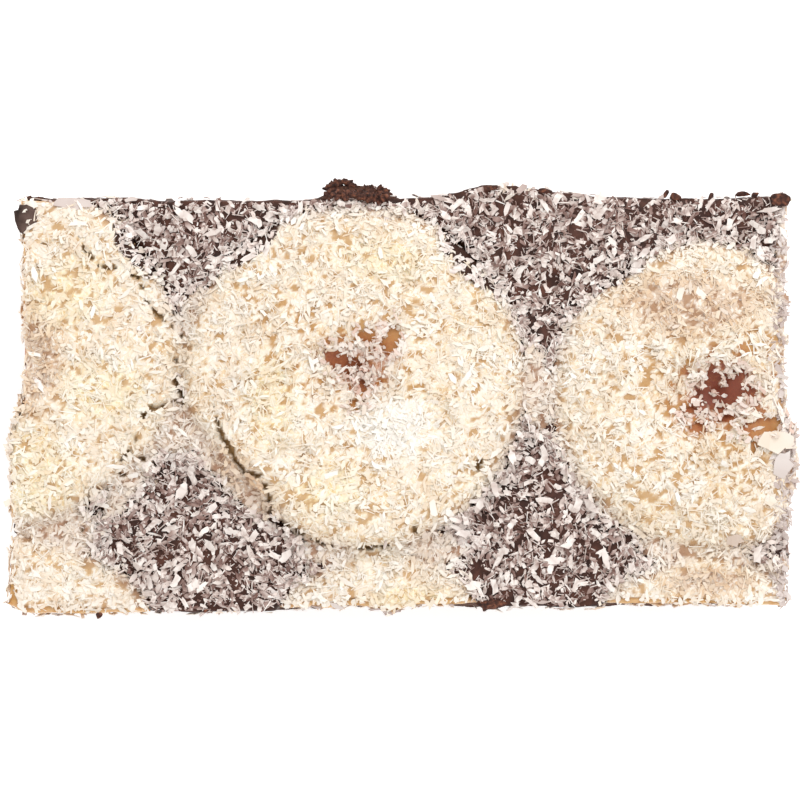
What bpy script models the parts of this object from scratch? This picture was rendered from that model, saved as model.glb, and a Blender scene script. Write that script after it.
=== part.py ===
"""Chocolate coconut cake: one slab cut from a tray bake.

A chocolate sponge carries a layer of chocolate glaze, and stoned peach halves are sunk through both
with their hollow side up. The knife ran through three sides of the slab, so the halves along those
walls are cut off flush and show their flesh.
Metres, +Z up, origin at the bottom centre of the whole slab.
"""

import math
from dataclasses import dataclass

import bmesh
import bpy
from mathutils import Euler, Vector, noise

MM = 0.001

# ---- the slab ----
LENGTH = 143.6 * MM
WIDTH = 77.0 * MM
SPONGE_TOP = 29.0 * MM
GLAZE_TOP = 35.2 * MM
LAYER_GAP = 0.3 * MM
COLUMNS = 26  # faces along the slab
RANKS = 14  # faces across it
RING_HEIGHT = 4.2 * MM  # height of one ring of faces on a wall

# Its walls. A step is (where it starts, how long it takes, how deep it is), all in metres.
LEFT_STEP = (-9 * MM, 10 * MM, 2.2 * MM)
RIGHT_STEP = (-8 * MM, 12 * MM, 1.6 * MM)
FRONT_STEP = (-22 * MM, 16 * MM, 0.9 * MM)
BROKEN_CORNER = (32 * MM, 6 * MM, 1.6 * MM)
BACK_WAVE = 0.4 * MM
BACK_WAVE_LENGTH = 19 * MM
WALL_FLARE = 1.1 * MM  # the crumb settles outward towards the bottom
WALL_CRUMBLE = 0.9 * MM
CRUMBLE_GRAIN = 7 * MM
CORNER_PULL = 1.2 * MM
EDGE_ONLY = 12  # power that keeps what happens at a wall out of the middle of the slab

# ---- the glaze ----
GLAZE_WAVE = 0.7 * MM
WAVE_GRAIN = 11 * MM
POOL_DEPTH = 1.1 * MM
POOLS = ((28 * MM, 22 * MM), (-38 * MM, 20 * MM))  # middle and half length of each deeper stretch
LEDGE = (18 * MM, 15 * MM)  # where it ran over the back edge and set
LEDGE_REACH = 2.4 * MM
LEDGE_RISE = 3 * MM

# ---- the lump of crumb on the back wall ----
LUMP = (-8.5 * MM, 9.2 * MM)
LUMP_REACH = 3.6 * MM
LUMP_LOW = 15 * MM
LUMP_RISE = 8 * MM

BACK_STRIP = WIDTH / 2 - 4 * MM  # what lies behind this is the back wall

# ---- the peach halves ----
SEGMENTS = 40
HOLLOW_RADIUS = 11.0 * MM
HOLLOW_DEPTH = 5.2 * MM
HOLLOW_RINGS = 5
FACE_RINGS = 4
FACE_FALL = 1.2 * MM  # the cut face sinks a little towards its rim
RIM_ROUND = 4.2 * MM
RIM_RINGS = 4
BELLY_DEPTH = 15.5 * MM
BELLY_RINGS = 7
FLESH_RIPPLE = 0.35 * MM
RIPPLE_GRAIN = 9 * MM
OUTLINE_WAVE = 0.022  # share of the radius
FIRM_MIDDLE = 0.8  # the outline is reshaped out of this share of the radius
SOCKET_GAP = 0.3 * MM
SOCKET_ABOVE = 30 * MM
SMOOTH_ANGLE = 40  # degrees
WELD = 0.001 * MM


@dataclass
class PeachHalf:
    """One half, in millimetres and degrees; flats are (direction, share of the radius left there)."""

    name: str
    x: float
    y: float
    radius: float
    crown: float  # height of the cut face at its middle
    lean_x: float
    lean_y: float
    turn: float
    flats: tuple


PEACHES = (
    PeachHalf("peach_left", -73.0, 9.3, 32.0, 40.2, -1.0, -1.5, 20, ((-52, 0.95),)),
    PeachHalf("peach_middle", -8.4, 5.0, 32.0, 40.4, -2.0, 1.6, 75, ((222, 0.86), (88, 0.97))),
    PeachHalf("peach_right", 57.2, 1.2, 28.8, 39.6, 1.0, -1.2, 140, ((48, 0.88), (130, 0.95))),
    PeachHalf("peach_front_left", -71.4, -53.4, 29.2, 39.2, 1.5, -1.0, 200, ((70, 0.95),)),
    PeachHalf("peach_front_middle", -3.6, -49.6, 22.3, 37.2, 2.0, 0.5, 260, ((120, 0.93),)),
    PeachHalf("peach_front_right", 57.0, -53.4, 25.2, 38.2, 1.5, 1.0, 310, ((110, 0.95),)),
)


def smooth(value):
    """Runs from 0 to 1 with a soft start and end as value does."""
    value = min(max(value, 0.0), 1.0)
    return value * value * (3.0 - 2.0 * value)


def hump(value, middle, half):
    """Rises to 1 at the middle and is back at 0 by half on either side of it."""
    return smooth(1.0 - abs(value - middle) / half)


def stepped(value, start, run, depth):
    """Goes from 0 to depth while value passes through run, which begins at start."""
    return depth * smooth((value - start) / run)


def remove_old_objects():
    for old in list(bpy.data.objects):
        bpy.data.objects.remove(old, do_unlink=True)


def food_material(name, colour, roughness):
    """Principled material with one base colour in linear RGB."""
    material = bpy.data.materials.new(name)
    material.use_nodes = True
    shader = material.node_tree.nodes["Principled BSDF"]
    shader.inputs["Base Color"].default_value = (*colour, 1.0)
    shader.inputs["Roughness"].default_value = roughness
    shader.inputs["Metallic"].default_value = 0.0
    return material


def new_object(name, bm, material):
    bmesh.ops.recalc_face_normals(bm, faces=bm.faces)
    mesh = bpy.data.meshes.new(name)
    bm.to_mesh(mesh)
    bm.free()
    mesh.materials.append(material)
    obj = bpy.data.objects.new(name, mesh)
    bpy.context.collection.objects.link(obj)
    return obj


# The four walls, shared by the sponge, the glaze and the knife, so that all of them are flush.


def left_wall(y):
    return -LENGTH / 2 + stepped(y, *LEFT_STEP)


def right_wall(y):
    return LENGTH / 2 - stepped(y, *RIGHT_STEP) - stepped(-y, *BROKEN_CORNER)


def front_wall(x):
    return -WIDTH / 2 + stepped(x, *FRONT_STEP)


def back_wall(x):
    return WIDTH / 2 - BACK_WAVE * (1.0 - math.sin(x / BACK_WAVE_LENGTH))


def slab_point(across, along, height):
    """Point of the slab for across and along from -1 to 1, the walls being at -1 and 1."""
    x_near = across * LENGTH / 2
    y_near = along * WIDTH / 2
    x = left_wall(y_near) + (right_wall(y_near) - left_wall(y_near)) * (across + 1) / 2
    y = front_wall(x_near) + (back_wall(x_near) - front_wall(x_near)) * (along + 1) / 2
    flare = WALL_FLARE * (1 - smooth(height / GLAZE_TOP))
    crumble = WALL_CRUMBLE * noise.noise(Vector((x, y, height)) / CRUMBLE_GRAIN)
    at_side = abs(across) ** EDGE_ONLY
    at_end = abs(along) ** EDGE_ONLY
    outward = flare + crumble - CORNER_PULL * at_side * at_end
    x += math.copysign(outward * at_side, across)
    y += math.copysign(outward * at_end, along)
    return Vector((x, y, height))


def slab_layer(low, high):
    """A closed block between two heights, its six sides divided into even faces."""
    bm = bmesh.new()
    bmesh.ops.create_grid(bm, x_segments=COLUMNS, y_segments=RANKS, size=1.0)
    floor = list(bm.faces)
    rings = max(1, round((high - low) / RING_HEIGHT))
    ring_of = {vertex: 0 for vertex in bm.verts}
    border = [edge for edge in bm.edges if edge.is_boundary]
    for ring in range(1, rings + 1):
        raised = bmesh.ops.extrude_edge_only(bm, edges=border)["geom"]
        border = [item for item in raised if isinstance(item, bmesh.types.BMEdge)]
        for item in raised:
            if isinstance(item, bmesh.types.BMVert):
                ring_of[item] = ring
    for item in bmesh.ops.duplicate(bm, geom=floor)["geom"]:
        if isinstance(item, bmesh.types.BMVert):
            ring_of[item] = rings
    for vertex in bm.verts:
        height = low + (high - low) * ring_of[vertex] / rings
        vertex.co = slab_point(vertex.co.x, vertex.co.y, height)
    bmesh.ops.remove_doubles(bm, verts=bm.verts, dist=WELD)
    return bm


# ---- peach halves ----


def belly_section(radius, depth, level):
    """Quarter ellipse from the widest line of the half down to the tip of its belly."""
    turns = [math.pi / 2 * ring / BELLY_RINGS for ring in range(BELLY_RINGS + 1)]
    return [(radius * math.cos(turn), level - depth * math.sin(turn)) for turn in turns]


def face_section(radius):
    """From the floor of the stone's hollow, over the cut face and round the rim."""
    section = []
    for ring in range(HOLLOW_RINGS):
        share = ring / HOLLOW_RINGS
        section.append((HOLLOW_RADIUS * share, -HOLLOW_DEPTH * (1 + math.cos(math.pi * share)) / 2))
    face_edge = radius - RIM_ROUND
    for ring in range(FACE_RINGS):
        share = ring / FACE_RINGS
        section.append((HOLLOW_RADIUS + (face_edge - HOLLOW_RADIUS) * share, -FACE_FALL * share**2))
    for ring in range(RIM_RINGS):
        turn = math.pi / 2 * ring / RIM_RINGS
        drop = FACE_FALL + RIM_ROUND * (1 - math.cos(turn))
        section.append((face_edge + RIM_ROUND * math.sin(turn), -drop))
    return section


def half_section(radius):
    return face_section(radius) + belly_section(radius, BELLY_DEPTH, -FACE_FALL - RIM_ROUND)


def socket_section(radius):
    """The room that a half needs: its belly with the gap round it, straight-sided above the rim."""
    wide = radius + SOCKET_GAP
    plug = [(0.0, SOCKET_ABOVE), (wide, SOCKET_ABOVE)]
    return plug + belly_section(wide, BELLY_DEPTH + SOCKET_GAP, -FACE_FALL - RIM_ROUND)


def outline_share(angle, half):
    """Share of the full radius in one direction: shallow waves and flattened sides, always inward."""
    phase = math.radians(half.turn)
    wave = 0.5 + 0.3 * math.sin(3 * angle + phase) + 0.2 * math.sin(5 * angle - phase)
    share = 1 - OUTLINE_WAVE * wave
    for direction, reach in half.flats:
        facing = math.cos(angle - math.radians(direction))
        if facing > 0:
            share = min(share, reach / facing)
    return share


def turned_peach(half, section):
    """Spins a section, draws it in to the outline of this half, leans it and puts it in its place."""
    bm = bmesh.new()
    points = [bm.verts.new((r, 0.0, z)) for r, z in section]
    lines = [bm.edges.new(pair) for pair in zip(points, points[1:])]
    full_turn = {"axis": (0, 0, 1), "cent": (0, 0, 0), "angle": 2 * math.pi, "steps": SEGMENTS}
    bmesh.ops.spin(bm, geom=points + lines, **full_turn)
    bmesh.ops.remove_doubles(bm, verts=bm.verts, dist=WELD)
    lean = Euler((math.radians(half.lean_x), math.radians(half.lean_y), 0)).to_matrix()
    middle = Vector((half.x, half.y, half.crown)) * MM
    for vertex in bm.verts:
        from_axis = math.hypot(vertex.co.x, vertex.co.y)
        drawn_in = 1 - outline_share(math.atan2(vertex.co.y, vertex.co.x), half)
        drawn_in *= smooth(from_axis / (half.radius * MM * FIRM_MIDDLE))
        vertex.co.x *= 1 - drawn_in
        vertex.co.y *= 1 - drawn_in
        vertex.co = middle + lean @ vertex.co
    return bm


def peach_mesh(half):
    bm = turned_peach(half, half_section(half.radius * MM))
    rim_level = half.crown * MM - FACE_FALL - RIM_ROUND / 2
    for vertex in bm.verts:
        if vertex.co.z > rim_level:
            vertex.co.z += FLESH_RIPPLE * noise.noise(vertex.co / RIPPLE_GRAIN)
    return bm


# ---- layers ----


def sponge_mesh():
    """The sponge block, with the lump of crumb that tore out of its back wall."""
    bm = slab_layer(0.0, SPONGE_TOP)
    for vertex in bm.verts:
        if vertex.co.y > BACK_STRIP:
            reach = hump(vertex.co.x, *LUMP) * smooth((vertex.co.z - LUMP_LOW) / LUMP_RISE)
            vertex.co.y += LUMP_REACH * reach
    return bm


def glaze_mesh():
    """The glaze: a low layer with a wavy top that pooled between the fruit and ran over the back."""
    low = SPONGE_TOP + LAYER_GAP
    bm = slab_layer(low, GLAZE_TOP)
    for vertex in bm.verts:
        x, y, z = vertex.co
        if y > BACK_STRIP:
            vertex.co.y += LEDGE_REACH * hump(x, *LEDGE) * smooth((z - SPONGE_TOP) / LEDGE_RISE)
        wave = GLAZE_WAVE * noise.noise(Vector((x, y, 0)) / WAVE_GRAIN)
        pool = POOL_DEPTH * sum(hump(x, *place) for place in POOLS)
        vertex.co.z += (wave + pool) * (z - low) / (GLAZE_TOP - low)
    return bm


# ---- cutting and placing ----


def make_cutter(name, bm, material):
    cutter = new_object(name, bm, material)
    cutter.hide_render = True
    cutter.display_type = "WIRE"
    return cutter


def cut(target, cutter, operation):
    modifier = target.modifiers.new(cutter.name, "BOOLEAN")
    modifier.object = cutter
    modifier.operation = operation
    modifier.solver = "EXACT"


def stand_on_origin(pieces, cutters):
    """Moves everything alike, so that the slab stands on the origin by its bottom centre."""
    graph = bpy.context.evaluated_depsgraph_get()
    points = []
    for piece in pieces:
        points += [vertex.co.copy() for vertex in piece.evaluated_get(graph).data.vertices]
    low = [min(point[axis] for point in points) for axis in range(3)]
    high = [max(point[axis] for point in points) for axis in range(3)]
    shift = Vector((-(low[0] + high[0]) / 2, -(low[1] + high[1]) / 2, -low[2]))
    for obj in pieces + cutters:
        obj.location = shift


def build():
    remove_old_objects()
    crumb = food_material("chocolate_sponge", (0.075, 0.030, 0.018), 0.9)
    icing = food_material("chocolate_glaze", (0.050, 0.022, 0.016), 0.45)
    flesh = food_material("peach_flesh", (0.72, 0.43, 0.16), 0.5)

    sponge = new_object("sponge_base", sponge_mesh(), crumb)
    glaze = new_object("chocolate_glaze", glaze_mesh(), icing)
    knife = make_cutter("knife_walls", slab_layer(SPONGE_TOP / 4, GLAZE_TOP * 2), flesh)
    pieces = [sponge, glaze]
    cutters = [knife]
    for half in PEACHES:
        peach = new_object(half.name, peach_mesh(half), flesh)
        socket_mesh = turned_peach(half, socket_section(half.radius * MM))
        socket = make_cutter(half.name + "_socket", socket_mesh, flesh)
        cut(peach, knife, "INTERSECT")
        cut(sponge, socket, "DIFFERENCE")
        cut(glaze, socket, "DIFFERENCE")
        pieces.append(peach)
        cutters.append(socket)
    for piece in pieces:
        piece.data.shade_smooth()
        piece.data.set_sharp_from_angle(angle=math.radians(SMOOTH_ANGLE))
    stand_on_origin(pieces, cutters)


build()
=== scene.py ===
"""A slice of chocolate tray cake with peach halves under coconut: the looks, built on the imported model.

The slice is put together as a baker does it: the sponge, the glaze poured over it, the fruit sunk
into both, the coconut strewn over the top, and the crumbs that the knife tore loose.
"""
import math

import bpy
import numpy as np
from mathutils import Matrix, Vector, noise
from mathutils.bvhtree import BVHTree
from mathutils.kdtree import KDTree


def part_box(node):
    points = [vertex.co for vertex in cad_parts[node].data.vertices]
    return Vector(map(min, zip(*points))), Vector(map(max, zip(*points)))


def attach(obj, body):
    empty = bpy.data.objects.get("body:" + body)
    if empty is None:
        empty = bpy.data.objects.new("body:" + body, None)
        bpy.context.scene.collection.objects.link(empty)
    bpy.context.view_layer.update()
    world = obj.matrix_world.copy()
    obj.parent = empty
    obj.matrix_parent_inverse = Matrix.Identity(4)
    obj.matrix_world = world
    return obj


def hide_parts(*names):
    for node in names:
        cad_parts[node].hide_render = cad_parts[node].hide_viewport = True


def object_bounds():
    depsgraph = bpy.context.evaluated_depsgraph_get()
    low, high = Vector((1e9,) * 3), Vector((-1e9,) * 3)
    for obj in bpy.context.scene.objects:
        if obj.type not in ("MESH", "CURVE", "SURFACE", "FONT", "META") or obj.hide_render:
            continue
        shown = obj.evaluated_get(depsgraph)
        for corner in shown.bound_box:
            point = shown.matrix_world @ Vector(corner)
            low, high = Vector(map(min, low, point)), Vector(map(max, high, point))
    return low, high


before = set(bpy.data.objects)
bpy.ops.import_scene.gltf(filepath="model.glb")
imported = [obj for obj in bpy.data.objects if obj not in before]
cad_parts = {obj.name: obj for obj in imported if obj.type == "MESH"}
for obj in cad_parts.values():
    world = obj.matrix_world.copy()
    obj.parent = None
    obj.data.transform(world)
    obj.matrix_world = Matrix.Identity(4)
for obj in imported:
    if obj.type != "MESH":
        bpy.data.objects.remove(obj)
cad_low, cad_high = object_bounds()

# ---------------------------------------------------------------- sponge
# Dark chocolate sponge, baked in a tray and cut with a knife. The cut walls show its open crumb:
# bubbles of half a millimetre to three, torn edges between them, and a skin that is never flat.
MM = 0.001
SPONGE_VOXEL = 1.0 * MM
WALL_STRIP = 5.5 * MM  # the outer band that holds the walls
BACK_STRIP = 7.5 * MM  # wider, because the lump of crumb stands out there
TEAR = 4.0 * MM
TEAR_DEPTH = 0.9 * MM
PORES = 3800
PORE_SIZES = (0.4 * MM, 1.6 * MM)  # radii
PORE_DEPTH = 0.75  # share of a half sphere
# Pores are painted darker the deeper they are, as shade
DEEP = 1.1 * MM  # a pore this deep looks darkest
FLAT_FOOT = 1.2 * MM  # how far above the tray the walls get their unevenness


def linear(code):
    """Linear RGBA of an sRGB hex colour."""
    parts = [int(code[place:place + 2], 16) / 255 for place in (1, 3, 5)]
    return [part / 12.92 if part <= 0.04045 else ((part + 0.055) / 1.055) ** 2.4 for part in parts] + [1.0]


def add_node(tree, kind, inputs=None, stops=(), **settings):
    """Adds a shader node. Its inputs are outputs of other nodes, numbers or hex colours, and settings are
    its own or an input's value by name. Stops are the (place, hex colour) pairs of a colour ramp."""
    node = tree.nodes.new("ShaderNode" + kind)
    for name, value in settings.items():
        if hasattr(node, name):
            setattr(node, name, value)
        else:
            node.inputs[name.replace("_", " ").title()].default_value = value
    for name, source in (inputs or {}).items():
        if isinstance(source, str):
            node.inputs[name].default_value = linear(source)
        elif isinstance(source, float):
            node.inputs[name].default_value = source
        else:
            tree.links.new(source, node.inputs[name])
    if stops:
        points = node.color_ramp.elements
        while len(points) < len(stops):
            points.new(0.5)
        for point, (place, code) in zip(points, stops):
            point.position = place
            point.color = linear(code)
    return node


def new_material(name, roughness, ior):
    """A material with its node tree and its shader."""
    material = bpy.data.materials.new(name)
    material.use_nodes = True
    shader = material.node_tree.nodes["Principled BSDF"]
    shader.inputs["Roughness"].default_value = roughness
    shader.inputs["IOR"].default_value = ior
    return material, material.node_tree, shader


def select_only(piece):
    """Selects one piece alone and makes it the active one."""
    bpy.ops.object.select_all(action="DESELECT")
    piece.select_set(True)
    bpy.context.view_layer.objects.active = piece


def unselect_mesh(piece, select_mode="FACE"):
    """Leaves nothing of a mesh selected, ready for a selection by faces or by points."""
    select_only(piece)
    bpy.ops.object.mode_set(mode="EDIT")
    bpy.ops.mesh.select_mode(type=select_mode)
    bpy.ops.mesh.select_all(action="DESELECT")
    bpy.ops.object.mode_set(mode="OBJECT")


def apply_modifier(piece, kind, **settings):
    """Adds a modifier with its settings and applies it."""
    modifier = piece.modifiers.new(kind.title(), kind)
    for name, value in settings.items():
        setattr(modifier, name, value)
    select_only(piece)
    bpy.ops.object.modifier_apply(modifier=modifier.name)


def copy_of(node, name):
    """A copy of a solid of the frame to work on, its loose triangles merged."""
    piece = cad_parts[node].copy()
    piece.data = piece.data.copy()
    piece.name = name
    piece.data.name = name
    piece.parent = None
    piece.data.materials.clear()
    for key in list(piece.keys()):
        del piece[key]
    bpy.context.scene.collection.objects.link(piece)
    select_only(piece)
    bpy.ops.object.mode_set(mode="EDIT")
    bpy.ops.mesh.select_all(action="SELECT")
    bpy.ops.mesh.remove_doubles(threshold=0.001 * MM)
    bpy.ops.object.mode_set(mode="OBJECT")
    return piece


def fine_copy(node, name, voxel, passes):
    """A copy of a solid of the frame with an even fine mesh and its edges softened."""
    piece = copy_of(node, name)
    apply_modifier(piece, "REMESH", mode="VOXEL", voxel_size=voxel)
    apply_modifier(piece, "SMOOTH", factor=0.5, iterations=passes)
    return piece


def points_of(piece):
    """The points of a piece, one row each."""
    flat = np.empty(len(piece.data.vertices) * 3, np.float32)
    piece.data.vertices.foreach_get("co", flat)
    return flat.reshape(-1, 3)


def move_points(piece, spots):
    """Puts the points of a piece at these places."""
    piece.data.vertices.foreach_set("co", spots.astype(np.float32).ravel())
    piece.data.update()


def store(piece, name, values):
    """Keeps one number for each point of the piece, for its material to read."""
    attribute = piece.data.attributes.new(name, "FLOAT", "POINT")
    attribute.data.foreach_set("value", np.ascontiguousarray(values, np.float32))


def unsettle(piece, name, size, depth, detail, group=""):
    """Pushes the skin of a piece in and out by soft clouds of this size."""
    clouds = bpy.data.textures.new(name, "CLOUDS")
    clouds.noise_scale = size
    clouds.noise_depth = detail
    apply_modifier(
        piece,
        "DISPLACE",
        texture=clouds,
        texture_coords="LOCAL",
        strength=depth,
        mid_level=0.5,
        vertex_group=group,
    )


def grow_group(piece, name, weights):
    """A vertex group with these weights, in tenths."""
    group = piece.vertex_groups.new(name=name)
    for step in range(1, 11):
        picked = np.nonzero(np.round(weights * 10) == step)[0]
        group.add(picked.tolist(), step / 10, "REPLACE")


def wear(piece, material, smooth=True):
    """Finishes a piece: its material and the body it rides on."""
    piece.data.materials.clear()
    piece.data.materials.append(material)
    if smooth:
        select_only(piece)
        bpy.ops.object.shade_smooth()
    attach(piece, "root")


sponge = fine_copy("sponge_base", "sponge", SPONGE_VOXEL, 3)

sponge_low, sponge_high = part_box("sponge_base")
unselect_mesh(sponge)
for face in sponge.data.polygons:
    x, y, z = face.center
    at_wall = (
        x < sponge_low.x + WALL_STRIP
        or x > sponge_high.x - WALL_STRIP
        or y < sponge_low.y + WALL_STRIP
        or y > sponge_high.y - BACK_STRIP
    )
    face.select = at_wall and abs(face.normal.z) < 0.75
bpy.ops.object.mode_set(mode="EDIT")
bpy.ops.mesh.subdivide(number_cuts=1)
bpy.ops.mesh.quads_convert_to_tris()
bpy.ops.object.mode_set(mode="OBJECT")

spots = points_of(sponge)
normals = np.array([vertex.normal for vertex in sponge.data.vertices])
# The flat underside stays flat, and so does what the glaze covers.
side = np.clip(1.3 - 1.5 * np.abs(normals[:, 2]), 0, 1) * np.clip(spots[:, 2] / FLAT_FOOT, 0, 1)
grow_group(sponge, "walls", side)
unsettle(sponge, "tear", TEAR, TEAR_DEPTH, 3, "walls")


def press_pores(piece, normals, share, count, sizes, seed):
    """Presses round pores into a cut crumb where share is high, and returns how deep each point went."""
    spots = points_of(piece)
    tree = KDTree(len(spots))
    for index, spot in enumerate(spots):
        tree.insert(spot, index)
    tree.balance()
    draw = np.random.default_rng(seed)
    middles = draw.choice(len(spots), count, p=share / share.sum())
    radii = sizes[0] * (sizes[1] / sizes[0]) ** (draw.random(count) ** 2.0)
    pressed = np.zeros(len(spots))
    for middle, radius in zip(middles, radii):
        for spot, index, away in tree.find_range(spots[middle], radius):
            depth = PORE_DEPTH * math.sqrt(max(radius * radius - away * away, 0))
            pressed[index] = max(pressed[index], depth)
    pressed *= share
    spots -= normals * pressed[:, None]
    move_points(piece, spots)
    return pressed


pressed = press_pores(sponge, normals, side, PORES, PORE_SIZES, 3)
# Painted shade: the deeper a point was pressed into a pore, the darker its colour
store(sponge, "raised", 1 - 0.25 * np.clip(pressed / DEEP, 0, 1))

# Cocoa sponge, baked: a dry open crumb, so a wide dull sheen. Its colour is painted darker in its
# bubbles and pits as shade, and a lighter reddish brown, as painted highlight, where the torn crumb
# catches the light.
crumb, tree, shader = new_material("baked cocoa sponge", 0.85, 1.45)
MOTTLE = 1.1 * MM
browns = [(0.3, "#160b08"), (0.55, "#2b1812"), (0.8, "#40261c"), (1.0, "#5c3a2c")]
place = add_node(tree, "TexCoord").outputs["Object"]
raised = add_node(tree, "Attribute", attribute_name="raised").outputs["Fac"]
mottle = add_node(tree, "TexNoise", {"Vector": place}, scale=1 / MOTTLE, detail=6.0, roughness=0.65)
mottle = mottle.outputs["Fac"]
pits = add_node(tree, "TexVoronoi", {"Vector": place}, scale=1 / (0.8 * MM)).outputs["Distance"]
pore = add_node(tree, "MapRange", {"Value": pits}, from_min=0.05, from_max=0.4, to_min=0.4)
pore = pore.outputs["Result"]
level = add_node(tree, "Math", {0: raised, 1: pore}, operation="MULTIPLY").outputs[0]
lightness = add_node(tree, "Math", {0: level, 1: 0.45, 2: mottle}, operation="MULTIPLY_ADD").outputs[0]
tone = add_node(tree, "ValToRGB", {"Fac": lightness}, browns).outputs["Color"]
tree.links.new(tone, shader.inputs["Base Color"])
grit = add_node(tree, "TexNoise", {"Vector": place}, scale=1 / (0.5 * MM), detail=4.0).outputs["Fac"]
height = add_node(tree, "Math", {0: grit, 1: pore}, operation="ADD").outputs[0]
relief = add_node(tree, "Bump", {"Height": height}, strength=1.0, distance=0.6 * MM)
tree.links.new(relief.outputs["Normal"], shader.inputs["Normal"])

wear(sponge, crumb)
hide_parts("sponge_base")

# ---------------------------------------------------------------- glaze
# Chocolate glaze poured over the sponge: cocoa, sugar and butter, set to a skin. It ran flat, sagged
# a little between the fruit and over the back edge, and was cut through with the slice.
GLAZE_VOXEL = 0.8 * MM
RIPPLE = 7.0 * MM
RIPPLE_DEPTH = 0.5 * MM
DIMPLE = 1.6 * MM
DIMPLE_DEPTH = 0.3 * MM

glaze = fine_copy("chocolate_glaze", "glaze", GLAZE_VOXEL, 4)
unsettle(glaze, "ripple", RIPPLE, RIPPLE_DEPTH, 1)
unsettle(glaze, "dimple", DIMPLE, DIMPLE_DEPTH, 1)

# Set chocolate glaze: smooth from pouring, dulled by the sugar in it, darker and lighter in soft patches.
icing, tree, shader = new_material("set chocolate glaze", 0.5, 1.3)
darks = [(0.3, "#2a1610"), (0.5, "#43271e"), (0.72, "#5f3a2e")]
place = add_node(tree, "TexCoord").outputs["Object"]
bloom = add_node(tree, "TexNoise", {"Vector": place}, scale=1 / (2.5 * MM), detail=6.0).outputs["Fac"]
tone = add_node(tree, "ValToRGB", {"Fac": bloom}, darks).outputs["Color"]
tree.links.new(tone, shader.inputs["Base Color"])
skin = add_node(tree, "TexNoise", {"Vector": place}, scale=1 / (0.8 * MM), detail=3.0).outputs["Fac"]
relief = add_node(tree, "Bump", {"Height": skin}, strength=0.45, distance=0.2 * MM)
tree.links.new(relief.outputs["Normal"], shader.inputs["Normal"])

wear(glaze, icing)
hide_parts("chocolate_glaze")

# ---------------------------------------------------------------- peach halves
# Stoned halves of canned peach, sunk hollow side up. The flesh is soft, wet and golden with fine
# fibres that run out from the stone, whose hollow is stained red brown.
FRUIT_VOXEL = 0.8 * MM
FIBRE = 3.0 * MM
FIBRE_DEPTH = 0.5 * MM
# node: radius of the whole half, the sides of its box that the knife cut, how far its front stands out
HALVES = {
    "peach_left": (32.0 * MM, "left", 0.0),
    "peach_middle": (32.0 * MM, "whole", 0.0),
    "peach_right": (28.8 * MM, "right", 0.0),
    "peach_front_left": (29.2 * MM, "front left", 0.1 * MM),
    "peach_front_middle": (22.3 * MM, "front", -0.7 * MM),
    "peach_front_right": (25.2 * MM, "front right", -1.1 * MM),
}


def stone_place(node):
    """Where the stone of a half lay, from the sides of its box that the knife left whole."""
    radius, cut = HALVES[node][:2]
    low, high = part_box(node)
    x = (low.x + high.x) / 2
    y = (low.y + high.y) / 2
    half_width = radius
    if "front" in cut:
        y = high.y - radius
        half_width = math.sqrt(radius ** 2 - (low.y - y) ** 2)
    if "left" in cut:
        x = high.x - half_width
    if "right" in cut:
        x = low.x + half_width
    return Vector((x, y, high.z))


stones = {node: stone_place(node) for node in HALVES}

# Where the fruit and its coconut came apart: (node, half width, points from its stone), in mm
CRACKS = [
    ("peach_left", 0.05, [(14.0, 22.6), (14.9, 20.0), (16.4, 18.0), (17.5, 16.7), (21.2, 16.7)]),
    ("peach_left", 0.05, [(21.2, 16.7), (24.6, 14.6)]),
    ("peach_left", 0.12, [(24.6, 14.6), (26.2, 11.8), (26.2, 10.4), (29.6, 6.8), (32.3, 4.2)]),
    ("peach_left", 0.25, [(31.4, 0.3), (32.0, -2.2), (31.6, -4.7), (33.0, -8.1)]),
    ("peach_left", 0.15, [(33.0, -8.1), (30.5, -8.3), (28.6, -9.2), (26.2, -9.8), (25.5, -11.4)]),
    ("peach_left", 0.20, [(24.4, -15.0), (23.3, -17.0), (21.6, -19.0)]),
    ("peach_left", 0.25, [(25.0, -18.5), (25.5, -18.9)]),
    ("peach_left", 0.20, [(21.0, -21.3), (21.6, -21.9)]),
    ("peach_middle", 0.12, [(-27.0, -3.4), (-25.4, -6.8), (-24.8, -9.8)]),
    ("peach_middle", 0.35, [(-24.8, -9.8), (-23.1, -12.4), (-21.9, -14.9), (-19.8, -17.4), (-17.3, -17.9)]),
    ("peach_middle", 0.30, [(-16.4, -19.6), (-15.6, -21.8), (-15.6, -24.4), (-14.2, -26.0)]),
    ("peach_middle", 0.15, [(-14.2, -26.0), (-10.6, -28.0), (-6.1, -30.5), (-3.7, -31.1)]),
    ("peach_middle", 0.20, [(0.6, -31.3), (6.3, -31.1)]),
    ("peach_middle", 0.35, [(23.5, -15.2), (22.7, -17.0)]),
    ("peach_middle", 0.25, [(11.2, -27.2), (11.5, -28.2)]),
    ("peach_front_left", 0.20, [(16.0, 34.2), (16.4, 33.2)]),
    ("peach_front_left", 0.20, [(12.2, 31.0), (12.8, 29.9)]),
]
CRACK_DEPTH = 1.4 * MM
CRACK_SLOPE = 0.7 * MM
CRACK_FADE = 4 * MM  # the height over which a crack grows to its full depth
# The colour of the shade painted down in the cracks
CRACK_SHADE = "#8e7048"


def from_cracks(x, y):
    """How far points are outside the nearest crack."""
    nearest = np.full(np.shape(x), 1.0)
    for node, half_width, line in CRACKS:
        stone = stones[node]
        for first, last in zip(line, line[1:]):
            start = np.array(first) * MM + (stone.x, stone.y)
            run = (np.array(last) - first) * MM
            share = ((x - start[0]) * run[0] + (y - start[1]) * run[1]) / (run @ run)
            share = np.clip(share, 0, 1)
            away = np.hypot(x - start[0] - share * run[0], y - start[1] - share * run[1])
            nearest = np.minimum(nearest, away - half_width * MM)
    return nearest


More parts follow.
